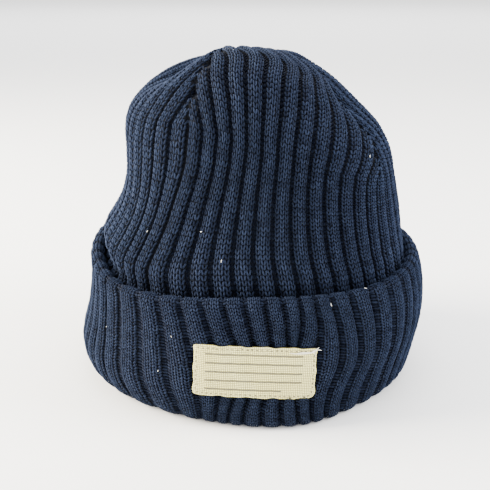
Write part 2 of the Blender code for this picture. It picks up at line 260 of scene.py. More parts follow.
def fade(angle: Array, middle: float, spread: float, above: Array | float = 0.0) -> Array:
    """Return 1 at a middle angle, falling smoothly round it, and above or below it too."""
    return np.exp(-(turned_from(angle, middle) / spread) ** 2 - above ** 2)


def bulging(bulges: Sequence[Bulge], angle: Array, place: Array) -> Array:
    """Add up how far the bulges push the cloth out.

    Args:
        bulges: the bulges of one piece of cloth.
        angle: where round the cap.
        place: how far up the cloth, as a share.

    Returns:
        The push at each place, as a share of half the cloth's width.
    """
    out = np.zeros_like(angle)
    for bulge in bulges:
        above = (place - bulge.place) / bulge.place_spread
        out += bulge.out * fade(angle, bulge.angle, bulge.spread, above)
    return out


def unit(vectors: Array) -> Array:
    """Return each vector at a length of one."""
    return vectors / np.maximum(np.linalg.norm(vectors, axis=-1, keepdims=True), 1e-12)


def smooth_step(low: float, high: float, value: Array) -> Array:
    """Return 0 below low and 1 above high, eased between them."""
    t = np.clip((value - low) / (high - low), 0.0, 1.0)
    return t * t * (3 - 2 * t)


@dataclass(frozen=True)
class CapForm:
    """The cap's form: the sizes of its solids and the surfaces that the knit lies on."""
    height: float = 0.188
    hem_width: float = 0.194
    hem_depth: float = 0.196
    crown_width: float = 0.152
    crown_depth: float = 0.164
    panels: int = 4
    ribs_per_panel: int = 13
    rib_depth: float = 0.0034
    rib_fullness: float = 2.5
    wall: float = 0.0022
    panel_turn: float = math.radians(6.5)
    cuff_height: float = 0.068
    cuff_thickness: float = 0.0062
    fold_round: float = 0.0030
    hem_fold: float = 0.0055
    hem_round: float = 0.0042
    inner_round: float = 0.0018
    cloth_gap: float = 0.0003
    crown_cloth: float = 0.158
    crown_rows: int = 76
    cuff_rows: int = 36
    dart_start: float = 0.38
    dart_crease: float = 6.0
    row_tilt: float = 0.13
    row_tilt_angle: float = math.radians(78)
    twist_angle: float = math.radians(10)
    squeeze: float = 0.14
    squeeze_share: float = 0.30
    fold_relief: float = 0.15
    lean: float = 0.12
    lean_angle: float = math.radians(-44)
    lean_spread: float = math.radians(26)
    pinch: float = 2.4 * MILLIMETRE
    pinch_left: float = 2.6 * MILLIMETRE
    pinch_left_angle: float = math.radians(-74)
    pinch_left_spread: float = math.radians(26)
    pinch_reach: float = 0.030
    label_press: float = 0.0011
    label_middle_x: float = 0.0015
    label_middle_z: float = 0.03175
    label_half_width: float = 0.0315
    label_half_height: float = 0.01375
    least_half_panel: float = 0.004
    shift: tuple[float, float, float] = (0.0, 0.0, 0.0)

    @property
    def ribs(self) -> int:
        """Return the count of ribs round the cap."""
        return self.panels * self.ribs_per_panel

    @property
    def foot(self) -> float:
        """Return how far the hem's turned-under edge reaches in from the cuff's face."""
        return self.cuff_thickness + self.cloth_gap + self.rib_depth + self.wall

    def fold_height(self, angle: Array) -> Array:
        """Return the height of the cuff's fold at each angle from the front."""
        return self.cuff_height * read_table(FOLD_POINTS, angle / math.tau % 1.0).height

    @property
    def row_height(self) -> float:
        """Return the height of one row of the cuff's stitches."""
        return (self.cuff_height - self.fold_round - self.hem_fold) / self.cuff_rows

    @property
    def fold_rows(self) -> float:
        """Return how many rows go over the fold."""
        return math.pi * (self.fold_round + self.cuff_thickness / 2) / (2 * self.row_height)

    @property
    def hem_rows(self) -> float:
        """Return how many rows go under the hem."""
        return math.pi * (self.hem_fold + self.hem_round) / (4 * self.row_height)

    def rib_sink(self, place: Array, lean: Array | float = 0.0) -> Array:
        """Find how deep the knit lies below a rib's crest.

        Args:
            place: where across the ribs, counted in ribs.
            lean: how far a groove's deepest line lies left of its middle, in ribs.

        Returns:
            The depth at each place.
        """
        across = place - np.floor(place)
        deepest = 0.5 - lean
        near = np.where(across < deepest, across / deepest, (1 - across) / (1 - deepest))
        return self.rib_depth * near ** self.rib_fullness

    def on_cuff(self, angle: Array, height: Array, inward: Array) -> Array:
        """Find points on the cuff's form.

        Args:
            angle: from the front, towards the viewer's right.
            height: above the floor.
            inward: from the crest of the ribs towards the axis.

        Returns:
            The points, one row each.
        """
        rise = height / self.fold_height(angle)
        flat = outline(angle, read_table(CUFF_REACHES, rise), self.hem_width, self.hem_depth)
        out = bulging(CUFF_BULGES, angle, rise) * self.hem_width / 2 - inward
        flat = flat + unit(flat) * out[:, None]
        return np.column_stack((flat, height))

    def crown_turn(self, angle: Array, row: Section) -> tuple[Array, Array]:
        """Turn the crown's ribs as the cloth has twisted.

        Args:
            angle: where the ribs would stand on an untwisted crown.
            row: the crown's section there.

        Returns:
            The angle where each stands, and its place across its panel from -1 to 1.
        """
        across = ((angle - self.panel_turn) * self.panels / math.tau + 0.5) % 1.0 * 2 - 1
        in_front = ((1 + np.cos(angle - self.twist_angle)) / 2) ** 2
        shift = in_front * (row.twist + row.lean * (1 - across ** 2))
        squeeze = self.squeeze * smooth_step(0.0, self.squeeze_share, row.share)
        return angle + shift * math.tau / self.panels - squeeze / 2 * np.sin(2 * angle), across

    def over_crown(self, share: Array, angle: Array) -> Array:
        """Find points over the crown's ribs.

        Args:
            share: how far up the crown's cloth, from 0 at the fold to 1 at the top.
            angle: where the rib stands on an untwisted crown.

        Returns:
            The points, one row each.
        """
        share = share - (self.row_tilt * np.sin(math.pi * share) ** 2
                         * np.cos(angle - self.row_tilt_angle))
        row = read_table(CROWN_SECTIONS, share)
        angle, across_panel = self.crown_turn(angle, row)
        flat = outline(angle, row, self.crown_width, self.crown_depth,
                       row.dart * np.abs(across_panel) ** self.dart_crease)
        fold = self.fold_height(angle)
        inset = np.full_like(angle, self.cuff_thickness + self.cloth_gap)
        inside = self.on_cuff(angle, fold, inset)[:, :2]
        flat = flat + (inside - flat) * row.flare[:, None]
        end_rise = np.where(np.cos(angle) > 0, row.front_rise, row.back_rise)
        rise = row.side_rise + np.cos(angle) ** 2 * (end_rise - row.side_rise)
        above = np.column_stack((flat, rise * (self.height - fold)))
        out = bulging(CROWN_BULGES, angle, share) * self.crown_width / 2
        above = above + unit(above) * out[:, None]
        above[:, 2] += fold
        return above

    def pinched(self, share: Array, angle: Array) -> Array:
        """Return how far the fold's edge presses the crown in, deepest where the crown leaves it."""
        left = fade(angle, self.pinch_left_angle, self.pinch_left_spread)
        depth = self.pinch + self.pinch_left * left
        return depth * np.exp(-(share / self.pinch_reach) ** 2)

    def half_panel(self, share: Array) -> Array:
        """Return how many ribs lie between a panel's middle and its darts."""
        above = np.maximum(share - self.dart_start, 0.0) / (1 - self.dart_start)
        return self.ribs_per_panel / 2 * np.maximum(1 - above, self.least_half_panel)

    def crown_point(self, share: Array, panel: Array, place: Array,
                    out: Array, relief: float = 1.0) -> Array:
        """Find points of the crown's knit.

        Args:
            share: how far up the crown's cloth. Below 0 it runs down inside the cuff.
            panel: the number of the panel.
            place: how far from the panel's middle, in ribs.
            out: how far out from the ribbed cloth's face.
            relief: how much of the ribs' depth shows.

        Returns:
            The points, one row each.
        """
        half = self.half_panel(share)
        place = np.clip(place, -half, half)
        angle = self.panel_turn + (panel + place / (2 * half)) * math.tau / self.panels
        out = out - self.rib_sink(place) * relief - self.pinched(share, angle)
        step = 1e-3
        above = np.clip(share, 0.0, 1.0 - step)
        along = self.over_crown(above + step, angle) - self.over_crown(above - step, angle)
        around = self.over_crown(above, angle + step) - self.over_crown(above, angle - step)
        points = self.over_crown(above, angle) + unit(np.cross(around, along)) * out[:, None]
        bottom = CROWN_SECTIONS[0]
        turned = self.crown_turn(angle, bottom)[0]
        height = self.fold_height(turned) + np.minimum(share, 0.0) * self.crown_cloth
        hidden = self.on_cuff(turned, height, self.cuff_thickness + self.cloth_gap - out)
        points = np.where((share < 0.0)[:, None], hidden, points)
        return points + self.shift

    def cuff_turn(self, angle: Array, height: Array) -> Array:
        """Return where the cuff's ribs stand at a height, dragged by the pulls."""
        turned = angle.copy()
        for pull in PULLS:
            above = (height / self.fold_height(angle) - pull.rise) / pull.rise_spread
            near = fade(angle, pull.angle, pull.spread, above)
            turned += pull.shift * near * math.tau / self.ribs
        return turned

    def under_label(self, points: Array) -> Array:
        """Return how fully the label covers each point, from 0 to 1."""
        across = np.abs(points[:, 0] - self.label_middle_x) - self.label_half_width
        up = np.abs(points[:, 2] - self.label_middle_z) - self.label_half_height
        edge = 0.9 * MILLIMETRE
        inside = (1 - smooth_step(-edge, edge, across)) * (1 - smooth_step(-edge, edge, up))
        return np.where(points[:, 1] < 0.0, inside, 0.0)

    def cuff_point(self, rib: Array, row: Array, out: Array,
                   relief: float = 1.0) -> Array:
        """Find points of the cuff's knit, from under the hem over the fold to its inside.

        Args:
            rib: how far round the cap, in ribs from the middle of the front panel.
            row: which row of stitches, from 0 at the top of the hem's turn. Rows under 0
                are in the turn, and those over cuff_rows are on the fold.
            out: how far out from the ribbed cloth's face.
            relief: how much of the ribs' depth shows.

        Returns:
            The points, one row each.
        """
        angle = self.panel_turn + rib * math.tau / self.ribs
        fold = self.fold_height(angle)
        face = fold - self.fold_round - self.hem_fold
        half_thick = self.cuff_thickness / 2
        over = np.maximum(row - self.cuff_rows, 0.0) * math.pi / self.fold_rows
        under = np.minimum(np.maximum(-row, 0.0) / self.hem_rows, 1.0) * math.pi / 2
        past = np.maximum(over - math.pi, 0.0) * self.fold_round
        over = np.minimum(over, math.pi)
        height = (self.hem_fold + np.clip(row / self.cuff_rows, 0.0, 1.0) * face
                  + self.fold_round * np.sin(over) - self.hem_fold * np.sin(under) - past)
        inward = half_thick * (1 - np.cos(over)) + self.hem_round * (1 - np.cos(under))
        shown = 1 - (1 - self.fold_relief) * np.sin(np.maximum(over, under)) ** 2
        lean = self.lean * fade(angle, self.lean_angle, self.lean_spread)
        out = out - self.rib_sink(rib, lean) * relief * shown
        up = np.sin(over) - np.sin(under)
        outward = np.cos(over) * np.cos(under)
        turned = self.cuff_turn(angle, height)
        floor = 0.2 * MILLIMETRE
        points = self.on_cuff(turned, np.maximum(height + up * out, floor), inward - outward * out)
        pressed = self.under_label(points) * self.label_press
        points[:, :2] -= unit(points[:, :2]) * pressed[:, None]
        return points + self.shift

    def label_point(self, across: Array, up: Array, out: Array) -> Array:
        """Find points over the front of the cuff, where the label lies.

        Args:
            across: along the cuff from the middle of its front, towards the viewer's right.
            up: above the floor.
            out: out from the crest of the ribs.

        Returns:
            The points, one row each.
        """
        radius = self.hem_width / 2
        angle = across / radius
        passes = 4
        for _ in range(passes):
            reached = self.on_cuff(angle, up, np.zeros_like(up))[:, 0]
            angle = angle + np.sin(across / radius) - reached / radius
        return self.on_cuff(angle, up, -out) + self.shift


def placed_form() -> CapForm:
    """Return the cap's form, moved so that its cuff stands where the solid cuff does."""
    plain = CapForm()
    turns = np.linspace(0.0, math.tau, 720, endpoint=False)
    crest = np.zeros_like(turns)
    points = np.concatenate([plain.on_cuff(turns, crest + plain.cuff_height * rise, crest)
                             for rise in np.linspace(0.1, 0.95, 18)])
    middle = (points.min(axis=0) + points.max(axis=0)) / 2
    low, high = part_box("cuff")
    return CapForm(shift=((low[0] + high[0]) / 2 - middle[0],
                          (low[1] + high[1]) / 2 - middle[1], 0.0))


def linear(code: str) -> tuple[float, float, float, float]:
    """Turn an sRGB hex colour into a linear one with full alpha.

    Args:
        code: six hex digits after a hash.

    Returns:
        Red, green, blue and alpha, each from 0 to 1.
    """
    shares = [int(code[i:i + 2], 16) / 255 for i in (1, 3, 5)]
    red, green, blue = (s / 12.92 if s <= 0.04045 else ((s + 0.055) / 1.055) ** 2.4 for s in shares)
    return red, green, blue, 1.0


def fill(tree: bpy.types.NodeTree, node: bpy.types.Node, inputs: dict) -> None:
    """Link each named or numbered input of a node to an output, or set it to a value."""
    for name, value in inputs.items():
        if isinstance(value, bpy.types.NodeSocket):
            tree.links.new(value, node.inputs[name])
        else:
            node.inputs[name].default_value = value


def add_node(tree: bpy.types.NodeTree, kind: str, inputs: dict | None = None,
             **settings: object) -> Outputs:
    """Add a node with its settings, and fill or link its inputs.

    Args:
        tree: the material's node tree.
        kind: the node's type, without its prefix.
        inputs: a value or an output for each named or numbered input.
        settings: the node's own properties.

    Returns:
        The node's outputs.
    """
    node = tree.nodes.new(f"ShaderNode{kind}")
    for name, value in settings.items():
        setattr(node, name, value)
    fill(tree, node, inputs or {})
    return node.outputs


def waves(tree: bpy.types.NodeTree, place: Outputs, turns: float) -> list[bpy.types.NodeSocket]:
    """Return a cosine along each side of the map, which turns this many radians in its unit."""
    sides = add_node(tree, "SeparateXYZ", {0: place["UV"]})
    cosines = []
    for axis in ("X", "Y"):
        turn = add_node(tree, "Math", {0: sides[axis], 1: turns}, operation="MULTIPLY")
        cosines.append(add_node(tree, "Math", {0: turn[0]}, operation="COSINE")[0])
    return cosines


@dataclass(frozen=True, kw_only=True)
class Finish:
    """A matt finish, plain unless its kind has a pattern."""
    name: str
    light: str
    roughness: float = 0.8
    specular: float = 0.5

    def pattern(self, tree: bpy.types.NodeTree, place: Outputs) -> dict:
        """Return what the shader takes besides its roughness and its reflection."""
        return {"Base Color": linear(self.light)}

    def material(self) -> bpy.types.Material:
        """Make the material."""
        material = bpy.data.materials.new(self.name)
        material.use_nodes = True
        tree = material.node_tree
        inputs = self.pattern(tree, add_node(tree, "TexCoord"))
        fill(tree, tree.nodes["Principled BSDF"], {
            "Roughness": self.roughness, "Specular IOR Level": self.specular, **inputs})
        return material


@dataclass(frozen=True, kw_only=True)
class YarnFinish(Finish):
    """Spun navy yarn, soft and matt, with lighter fibres standing out of it."""
    name: str = "navy_spun_yarn"
    dark: str = "#030716"
    light: str = "#2D374E"
    roughness: float = 0.92
    specular: float = 0.08
    sheen: float = 0.05
    sheen_roughness: float = 0.45
    sheen_tint: str = "#909DB4"
    heather_size: float = 0.9 * MILLIMETRE
    heather_share: float = 0.5
    fibre_size: float = 0.22 * MILLIMETRE
    ply_scale: float = 0.9
    ply_wander: float = 0.6
    ply_bump: float = 0.06 * MILLIMETRE
    fibre_bump: float = 0.10 * MILLIMETRE

    def pattern(self, tree: bpy.types.NodeTree, place: Outputs) -> dict:
        """Twist plies round each strand, and let stray fibres break the light."""
        # This attribute holds a random tone plus painted shade: darker in the grooves and on each
        # strand's lower side.
        tone_and_shade = add_node(tree, "Attribute", attribute_name="tone_and_shade")
        heather = add_node(tree, "TexNoise", {
            "Vector": place["Object"], "Scale": 1 / self.heather_size, "Detail": 3.0})
        mixed = add_node(tree, "Math", {0: heather["Fac"], 1: self.heather_share, 2: tone_and_shade["Fac"]},
                         operation="MULTIPLY_ADD")
        share = add_node(tree, "Math", {0: mixed[0], 1: self.heather_share / 2},
                         operation="SUBTRACT", use_clamp=True)
        colour = add_node(tree, "Mix", {0: share[0], 6: linear(self.dark), 7: linear(self.light)},
                          data_type="RGBA")
        twist = add_node(tree, "TexWave", {
            "Vector": place["UV"], "Scale": self.ply_scale, "Distortion": self.ply_wander},
            wave_type="BANDS", bands_direction="DIAGONAL")
        fibres = add_node(tree, "TexNoise", {
            "Vector": place["Object"], "Scale": 1 / self.fibre_size, "Detail": 2.0})
        plies = add_node(tree, "Bump", {
            "Height": twist["Fac"], "Distance": self.ply_bump, "Strength": 0.7})
        rough = add_node(tree, "Bump", {
            "Height": fibres["Fac"], "Distance": self.fibre_bump, "Strength": 0.8,
            "Normal": plies["Normal"]})
        return {"Base Color": colour[2], "Normal": rough["Normal"], "Sheen Weight": self.sheen,
                "Sheen Roughness": self.sheen_roughness, "Sheen Tint": linear(self.sheen_tint)}


@dataclass(frozen=True, kw_only=True)
class BackClothFinish(Finish):
    """The reverse of the rib knit: loops in rows, deep in the grooves and inside the cap, coloured
    far darker than the yarn as painted shade.
    """
    name: str = "navy_knit_reverse"
    dark: str = "#020308"
    light: str = "#070C18"
    roughness: float = 0.95
    specular: float = 0.15
    loop_bump: float = 0.7 * MILLIMETRE

    def pattern(self, tree: bpy.types.NodeTree, place: Outputs) -> dict:
        """Set rows and wales of small round loops, on a map counted in stitches."""
        across, up = waves(tree, place, math.tau)
        loops = add_node(tree, "Math", {0: across, 1: up}, operation="ADD")
        height = add_node(tree, "MapRange", {
            "Value": loops[0], "From Min": -2.0, "From Max": 2.0})[0]
        # Painted shade: the colour darkens towards the hollows between the loops.
        colour = add_node(tree, "Mix", {0: height, 6: linear(self.dark), 7: linear(self.light)},
                          data_type="RGBA")
        bump = add_node(tree, "Bump", {
            "Height": height, "Distance": self.loop_bump, "Strength": 1.0})
        return {"Base Color": colour[2], "Normal": bump["Normal"]}


@dataclass(frozen=True, kw_only=True)
class LabelFinish(Finish):
    """Plain-woven cream cotton tape: even threads both ways, slightly yellowed."""
    name: str = "cream_cotton_tape"
    dark: str = "#F6E994"
    light: str = "#FFFCBA"
    gap: str = "#7D7446"
    roughness: float = 0.85
    specular: float = 0.25
    thread: float = 0.95 * MILLIMETRE
    stain_size: float = 14 * MILLIMETRE
    weave_bump: float = 0.16 * MILLIMETRE

    def pattern(self, tree: bpy.types.NodeTree, place: Outputs) -> dict:
        """Cross warp and weft on a map counted in metres on the tape.

        The threads are drawn coarser than the real ones, so that they show in the render.
        The narrow gaps between them are dark both ways.
        """
        warp, weft = (add_node(tree, "MapRange", {
            "Value": wave, "From Min": -1.0, "From Max": -0.1})[0]
            for wave in waves(tree, place, math.tau / self.thread))
        threads = add_node(tree, "Math", {0: warp, 1: weft}, operation="MULTIPLY")[0]
        stain = add_node(tree, "TexNoise", {
            "Vector": place["Object"], "Scale": 1 / self.stain_size, "Detail": 4.0})
        cream = add_node(tree, "Mix", {
            0: stain["Fac"], 6: linear(self.dark), 7: linear(self.light)}, data_type="RGBA")
        colour = add_node(tree, "Mix", {0: threads, 6: linear(self.gap), 7: cream[2]},
                          data_type="RGBA")
        bump = add_node(tree, "Bump", {
            "Height": threads, "Distance": self.weave_bump, "Strength": 0.8})
        return {"Base Color": colour[2], "Normal": bump["Normal"]}


@dataclass(frozen=True, kw_only=True)
class ThreadFinish(Finish):
    """Thin cotton thread, or ink and lint as thin: matt, with a slightly uneven colour."""
    dark: str
    patch: float = 0.8 * MILLIMETRE

    def pattern(self, tree: bpy.types.NodeTree, place: Outputs) -> dict:
        """Let the colour wander a little along each thread."""
        wander = add_node(tree, "TexNoise", {
            "Vector": place["Object"], "Scale": 1 / self.patch, "Detail": 2.0})
        colour = add_node(tree, "Mix", {
            0: wander["Fac"], 6: linear(self.dark), 7: linear(self.light)}, data_type="RGBA")
        return {"Base Color": colour[2]}


class Template(NamedTuple):
    """One stitch's shape, in a cell one wale wide and one row high, to be copied many times."""
    points: Array
    loops: Array
    starts: Array
    uvs: Array
    shade: Array

# The shapes of the stitches, in shares of a wale's width and a row's height.
LEG_APART, LEG_SPLAY, LEG_WIDTH = 0.250, 0.165, 0.190
LEG_LENGTH, LEG_TWIST = 0.66, 0.06
LEG_SEAT, LEG_ARCH, LEG_THICKNESS = 0.12, 0.26, 0.20
BUMP_LENGTH, BUMP_WIDTH, BUMP_RISE, BUMP_BOW = 0.62, 0.50, 0.10, 0.16
BUMP_SEAT, BUMP_THICKNESS = 0.18, 0.26


def points_of(bm: bmesh.types.BMesh) -> Array:
    """Return where a mesh's points lie, one row each."""
    return np.array([vertex.co for vertex in bm.verts])


def move_points(bm: bmesh.types.BMesh, points: Array) -> None:
    """Move each of a mesh's points to its new place."""
    for vertex, point in zip(bm.verts, points):
        vertex.co = point


def thicken(bm: bmesh.types.BMesh, thickness: float) -> None:
    """Turn flat faces into closed plates that rise from them."""
    made = bmesh.ops.extrude_face_region(bm, geom=bm.faces[:], use_keep_orig=True)["geom"]
    lifted = [item for item in made if isinstance(item, bmesh.types.BMVert)]
    bmesh.ops.translate(bm, vec=(0, 0, thickness), verts=lifted)
    bmesh.ops.recalc_face_normals(bm, faces=bm.faces)


def add_map(bm: bmesh.types.BMesh, name: str, across: Array, up: Array,
            whole: float = 0.0) -> None:
    """Give a mesh a map.

    Args:
        bm: the mesh.
        name: the map's name.
        across: each point's place across the map.
        up: its place up the map.
        whole: the map's width where it goes round once and meets itself.
    """
    bm.verts.index_update()
    layer = bm.loops.layers.uv.new(name)
    for face in bm.faces:
        first = across[face.verts[0].index]
        for corner in face.loops:
            index = corner.vert.index
            turns = round((across[index] - first) / whole) if whole else 0
            corner[layer].uv = (across[index] - turns * whole, up[index])


def link_object(name: str, data: bpy.types.ID) -> Piece:
    """Return a new object in the scene that holds a mesh, a light or a camera."""
    made = bpy.data.objects.new(name, data)
    bpy.context.scene.collection.objects.link(made)
    return made


def finish_piece(name: str, bm: bmesh.types.BMesh) -> Piece:
    """Turn a mesh into a smooth object in the scene, and free it."""
    mesh = bpy.data.meshes.new(name)
    bm.to_mesh(mesh)
    bm.free()
    mesh.shade_smooth()
    return link_object(name, mesh)


def strand(bm: bmesh.types.BMesh, sides: int, rings: int,
           shape: Callable[[float, float, float], Vector]) -> None:
    """Add a closed leaf-shaped strand.

    Args:
        bm: the mesh that it goes into.
        sides: of its cross-section.
        rings: steps along it.
        shape: where a point goes that is this far across, out and along, each from -1 to 1.
    """
    made = bmesh.ops.create_uvsphere(bm, u_segments=sides, v_segments=rings, radius=1.0)
    for vertex in made["verts"]:
        vertex.co = shape(*vertex.co)


def knit_template() -> Template:
    """Return the two legs of a knit stitch, which open upwards from its foot like a V."""
    bm = bmesh.new()
    for side in (-1, 1):
        def leg(across: float, out: float, along: float, side: int = side) -> Vector:
            x = side * (LEG_APART + LEG_SPLAY * along) + LEG_WIDTH * across
            y = LEG_LENGTH * along - side * LEG_TWIST * across
            z = LEG_SEAT + LEG_ARCH * (1 - along ** 2) + LEG_THICKNESS * out
            return Vector((x, y, z))
        strand(bm, 4, 3, leg)
    return as_template(bm)


def purl_template() -> Template:
    """Return the bump of a purl stitch, which lies across its wale like a low arch."""
    bm = bmesh.new()

    def bump(across: float, out: float, along: float) -> Vector:
        y = BUMP_RISE - BUMP_BOW * along ** 2 + BUMP_WIDTH * across
        return Vector((BUMP_LENGTH * along, y, BUMP_SEAT + BUMP_THICKNESS * out))
    strand(bm, 4, 3, bump)
    return as_template(bm)


def as_template(bm: bmesh.types.BMesh) -> Template:
    """Read a finished bmesh into arrays and free it.

    Args:
        bm: the stitch.

    Returns:
        Its points, corners, first corner of each face, a map round and along the strand, and
        how far each point stands out, from -0.5 to 0.5, which paints shade on the strand's lower
        side.
    """
    bmesh.ops.recalc_face_normals(bm, faces=bm.faces)
    bm.verts.ensure_lookup_table()
    points = points_of(bm)
    loops, starts = [], []
    for face in bm.faces:
        starts.append(len(loops))
        loops.extend(vertex.index for vertex in face.verts)
    bm.free()
    loops = np.array(loops)
    out = points[:, 2]
    shade = (out - out.min()) / (out.max() - out.min()) - 0.5
    return Template(points, loops, np.array(starts), points[loops][:, :2] * (3.0, 1.0), shade)


def join_copies(name: str, template: Template, points: Array,
                tones_and_shade: Array) -> Piece:
    """Join many copies of a template into one object.

    Args:
        name: the piece's name.
        template: the shape.
        points: where each copy's points lie.
        tones_and_shade: how light the yarn is drawn at each of them: a random tone plus painted shade
            in the grooves and under each strand.

    Returns:
        The object.
    """
    copies, count = points.shape[:2]
    step = np.arange(copies)[:, None]
    mesh = bpy.data.meshes.new(name)
    mesh.vertices.add(copies * count)
    mesh.vertices.foreach_set("co", points.astype(np.float32).ravel())
    mesh.loops.add(copies * len(template.loops))
    mesh.loops.foreach_set("vertex_index", (template.loops + step * count).ravel())
    mesh.polygons.add(copies * len(template.starts))
    starts = (template.starts + step * len(template.loops)).ravel()
    mesh.polygons.foreach_set("loop_start", starts)
    mesh.update(calc_edges=True)
    layer = mesh.uv_layers.new(name="strand")
    layer.data.foreach_set("uv", np.tile(template.uvs.astype(np.float32), (copies, 1)).ravel())
    # The tone holds painted shade besides the yarn's random tone.
    tone_and_shade = mesh.attributes.new("tone_and_shade", "FLOAT", "POINT")
    tone_and_shade.data.foreach_set("value", tones_and_shade.astype(np.float32).ravel())
    mesh.shade_smooth()
    return link_object(name, mesh)


def register(piece: Piece, material: bpy.types.Material,
             replaced: str | None = None) -> Piece:
    """Dress a finished piece, let it ride on the cap and report it.

    Args:
        piece: the piece.
        material: its finish.
        replaced: the solid that it stands for, if any.

    Returns:
        The piece.
    """
    piece.data.materials.clear()
    piece.data.materials.append(material)
    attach(piece, BODY)
    if replaced:
        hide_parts(replaced)
    corners = np.zeros(len(piece.data.polygons), dtype=np.int32)
    piece.data.polygons.foreach_get("loop_total", corners)
    LOG.info("%s: %d triangles", piece.name, int((corners - 2).sum()))
    return piece


def join_pieces(name: str, parts: Sequence[Piece]) -> Piece:
    """Join a few objects into the first one and give it a name.

    Args:
        name: the joined piece's name.
        parts: the objects, each at the origin.

    Returns:
        The joined object.
    """
    with bpy.context.temp_override(active_object=parts[0], selected_editable_objects=list(parts)):
        bpy.ops.object.join()
    parts[0].name = name
    parts[0].data.name = name
    return parts[0]


@dataclass
class Knitting:
    """Lays knit and purl stitches over the cap's form, with the yarn drawn lighter on the crests and
    darker in the grooves and under each strand as painted light and shade.
    """
    form: CapForm
    wale: float = 0.262
    purl_wale: float = 0.115
    purl_place: float = 0.448
    # Painted light and shade: the yarn is drawn lighter on the rib crests and darker down in the
    # grooves.
    crest_lit_tone: float = 0.42
    groove_shade_tone: float = -0.22
    # How much painted shade darkens each strand's lower side.
    depth_shade_tone: float = 0.30
    tone_spread: float = 0.09
    unevenness: float = 0.035

    @property
    def rib_width(self) -> float:
        """Return the width of one rib at the hem."""
        return math.pi * self.form.hem_width / self.form.ribs

    def wales(self, kind: Stitch) -> tuple[float, ...]:
        """Return where the wales of a kind stand across a rib, in rib widths."""
        if kind is Stitch.KNIT:
            return -self.wale, 0.0, self.wale
        return -self.purl_place, self.purl_place

    def grid(self, kind: Stitch, rows: Array) -> tuple[Array, Array]:
        """List the stitches of one panel.

        Args:
            kind: which face they show.
            rows: the numbers of its rows.

        Returns:
            Each stitch's place across the panel, in ribs, and its row.
        """
        half = self.form.ribs_per_panel // 2
        places = [rib + wale for rib in range(-half, half + 1) for wale in self.wales(kind)]
        place, row = np.meshgrid(places, rows)
        return place.ravel(), row.ravel()

    def lay(self, name: str, kind: Stitch, place: Array, row: Array,
            surface: Callable[[Array, Array, Array], Array],
            draw: np.random.Generator) -> Piece:
        """Copy a stitch to each place on a surface.

        Args:
            name: the piece's name.
            kind: which face the stitches show.
            place: each stitch's place across its panel, in ribs.
            row: each stitch's row.
            surface: gives the point at a place, a row and a distance out.
            draw: the source of unevenness.

        Returns:
            The piece.
        """
        template = knit_template() if kind is Stitch.KNIT else purl_template()
        width = self.wale if kind is Stitch.KNIT else self.purl_wale
        count, size = len(place), len(template.points)
        grow = 1 + self.unevenness * draw.standard_normal((count, 3))
        offset = self.unevenness * draw.standard_normal((count, 2))
        cell = template.points[None] * grow[:, None, :]
        cell[..., :2] += offset[:, None, :]
        places = place[:, None] + cell[..., 0] * width
        rows = row[:, None] + cell[..., 1]
        outs = cell[..., 2] * width * self.rib_width
        points = surface(places.ravel(), rows.ravel(), outs.ravel()).reshape(count, size, 3)
        # Painted shade: a stitch deeper in a groove gets a darker tone; only the spread below is a
        # random tone.
        crest = 1 - self.form.rib_sink(place) / self.form.rib_depth
        tones_and_shade = self.groove_shade_tone + (self.crest_lit_tone - self.groove_shade_tone) * crest
        tones_and_shade = tones_and_shade + self.tone_spread * draw.standard_normal(count)
        # The template's shade darkens each strand's lower points: painted shade.
        return join_copies(name, template, points,
                           tones_and_shade[:, None] + template.shade[None] * self.depth_shade_tone)


@dataclass
class RibbedCloth:
    """A ribbed cloth of the cap: a wall, and the stitches on it, quarter by quarter."""
    form: CapForm
    knitting: Knitting
    rows: int
    solid: str = ""
    seed: int = 0
    rows_under: int = 0
    rows_over: int = 0
    columns: int = 312
    behind: float = 0.35 * MILLIMETRE

    def wall(self) -> Piece:
        """Model the wall behind the stitches."""
        raise NotImplementedError

    def surface(self, quarter: int, place: Array, row: Array,
                out: Array) -> Array:
        """Find points over a quarter of the cloth.

        Args:
            quarter: the number of the quarter.
            place: across the quarter from its middle, in ribs.
            row: up the cloth, in rows of stitches.
            out: out from its face.

        Returns:
            The points, one row each.
        """
        raise NotImplementedError

    def carries(self, place: Array, row: Array) -> Array:
        """Return which stitches of a plain grid lie on the cloth."""
        return np.full(len(place), True)

    def stitches(self, quarter: Quarter, kind: Stitch, draw: np.random.Generator) -> Piece:
        """Knit one quarter with one kind of stitch."""
        rows = np.arange(-self.rows_under, self.rows + self.rows_over)
        place, row = self.knitting.grid(kind, rows)
        row = row + 0.5
        kept = self.carries(place, row)
        name = f"{self.solid}_{kind.value}_{quarter.name.lower()}"
        surface = partial(self.surface, quarter.value)
        return self.knitting.lay(name, kind, place[kept], row[kept], surface, draw)

    def build(self, yarn: bpy.types.Material, reverse: bpy.types.Material) -> Piece:
        """Make the cloth's pieces.

        Args:
            yarn: the stitches' material.
            reverse: the wall's material.

        Returns:
            The wall.
        """
        wall = register(self.wall(), reverse, self.solid)
        draw = np.random.default_rng(self.seed)
        for quarter in Quarter:
            parts = [self.stitches(quarter, kind, draw) for kind in Stitch]
            name = f"{self.solid}_stitches_{quarter.name.lower()}"
            register(join_pieces(name, parts), yarn)
        return wall


